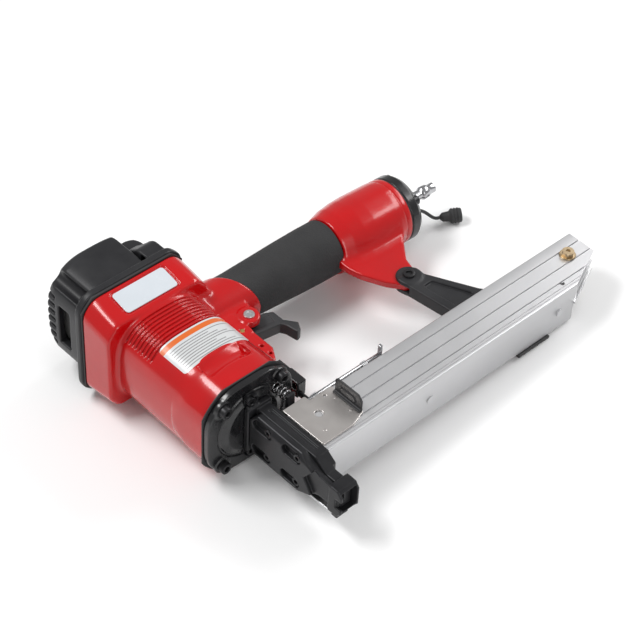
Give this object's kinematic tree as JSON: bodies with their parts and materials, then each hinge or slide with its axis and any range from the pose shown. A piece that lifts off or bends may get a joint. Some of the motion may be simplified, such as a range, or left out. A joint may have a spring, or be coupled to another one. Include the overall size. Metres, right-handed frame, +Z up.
{
  "type": "flooring nailer",
  "caption": "Trigger-operated pneumatic stapler for flooring, with a foam grip, black nose with contact foot and an aluminium stick magazine, lying on its side.",
  "frame": {"origin": "bottom centre of the bounding box of the tool as it lies on its side on a level surface, without the tether strap and dust cap", "axes": "+Z up from the surface; +Y towards the rear end of the magazine; +X close to the driving direction. Lying at rest, the nose dips 3.85 degrees and the magazine leans 3.81 degrees towards the surface"},
  "size_m": [0.3072, 0.3862, 0.1093],
  "materials": {
    "red_paint": "gloss",
    "black_cast": "satin",
    "black_moulded": "satin",
    "grip_foam": "matte foam",
    "rubber_black": "matte",
    "felt_grey": "porous",
    "screw_black": "black oxide",
    "nose_steel": "phosphated satin",
    "steel": "brushed",
    "spring_steel": "bright",
    "chrome": "polished",
    "aluminium": "machined",
    "anodised": "clear anodised, brushed",
    "stainless": "brushed",
    "zinc_yellow": "zinc plated",
    "brass": "machined",
    "plate_white": "gloss",
    "label_white": "gloss"
  },
  "bodies": {
    "body": {"housing": "red_paint", "cap_gasket": "rubber_black", "rear_cap": "black_cast", "cap_screws": "screw_black", "exhaust_silencer": "felt_grey", "piston_stop": "rubber_black", "head_valve_spring": "spring_steel", "cylinder_sleeve": "aluminium", "sleeve_seals": "rubber_black", "bumper": "rubber_black", "cover_gasket": "rubber_black", "front_cover": "black_cast", "cover_screws": "screw_black", "nose_guide": "nose_steel", "nose_base_screws": "screw_black", "nose_plate": "nose_steel", "nose_screws": "screw_black", "safety_spring": "spring_steel", "trigger_pin": "brass", "valve_body": "brass", "valve_seals": "rubber_black", "valve_spring": "spring_steel", "valve_side_screw": "steel", "grip_sleeve": "grip_foam", "end_cap_gasket": "rubber_black", "end_cap": "black_cast", "end_cap_screws": "screw_black", "air_plug": "chrome", "tether_strap": "rubber_black", "dust_cap": "rubber_black", "support_arm": "black_cast", "arm_pin": "screw_black", "arm_screws": "steel", "magazine_body": "anodised", "staple_rail": "steel", "rail_screws": "steel", "guide_plate": "stainless", "guide_ear": "black_cast", "ear_rivets": "steel", "rod_guides": "steel", "rear_plate": "steel", "rear_bolt": "zinc_yellow", "rest_pad": "rubber_black", "name_plate": "plate_white", "caution_label": "label_white"},
    "piston": {"piston": "aluminium", "piston_ring": "rubber_black", "driver_blade": "steel", "blade_pin": "steel"},
    "head_valve": {"head_valve": "aluminium", "head_valve_seals": "rubber_black"},
    "safety": {"contact_foot": "nose_steel", "safety_yoke": "steel", "safety_bracket": "black_moulded"},
    "trigger": {"trigger": "black_moulded"},
    "valve_stem": {"valve_stem": "steel"},
    "pusher": {"pusher": "steel", "pusher_spring": "spring_steel"},
    "latch": {"latch_rod": "chrome"}
  },
  "joints": [
    {"name": "piston_stroke", "type": "slide", "parent": "body", "child": "piston", "axis": [0.9977, 0, -0.0671], "range_m": [0, 0.076]},
    {"name": "head_valve_lift", "type": "slide", "parent": "body", "child": "head_valve", "axis": [-0.9977, 0, 0.0671], "range_m": [0, 0.005], "stiffness_N_per_m": 1500, "springref_m": -0.004, "deforming": ["head_valve_spring"]},
    {"name": "safety_press", "type": "slide", "parent": "body", "child": "safety", "axis": [-0.9977, 0, 0.0671], "range_m": [0, 0.009], "stiffness_N_per_m": 900, "springref_m": -0.006, "deforming": ["safety_spring"]},
    {"name": "trigger_pull", "type": "hinge", "parent": "body", "child": "trigger", "pos_m": [-0.0239, -0.0876, 0.04606], "axis": [0.067, 0.0664, 0.9955], "range_deg": [0, 8], "stiffness_Nm_per_rad": 1.5, "springref_deg": -8.59},
    {"name": "valve_stem_slide", "type": "slide", "parent": "body", "child": "valve_stem", "axis": [-0.9977, 0, 0.0671], "range_m": [0, 0.003], "deforming": ["valve_spring"]},
    {"name": "pusher_travel", "type": "slide", "parent": "body", "child": "pusher", "axis": [-0.0045, 0.9978, -0.0663], "range_m": [0, 0.22], "stiffness_N_per_m": 12, "springref_m": -0.35},
    {"name": "latch_slide", "type": "slide", "parent": "body", "child": "latch", "axis": [0.0045, -0.9978, 0.0663], "range_m": [0, 0.006], "stiffness_N_per_m": 300, "springref_m": -0.004}
  ],
  "couplings": [
    {"joint": "valve_stem_slide", "follows": "trigger_pull", "m_per_rad": 0.0185}
  ]
}
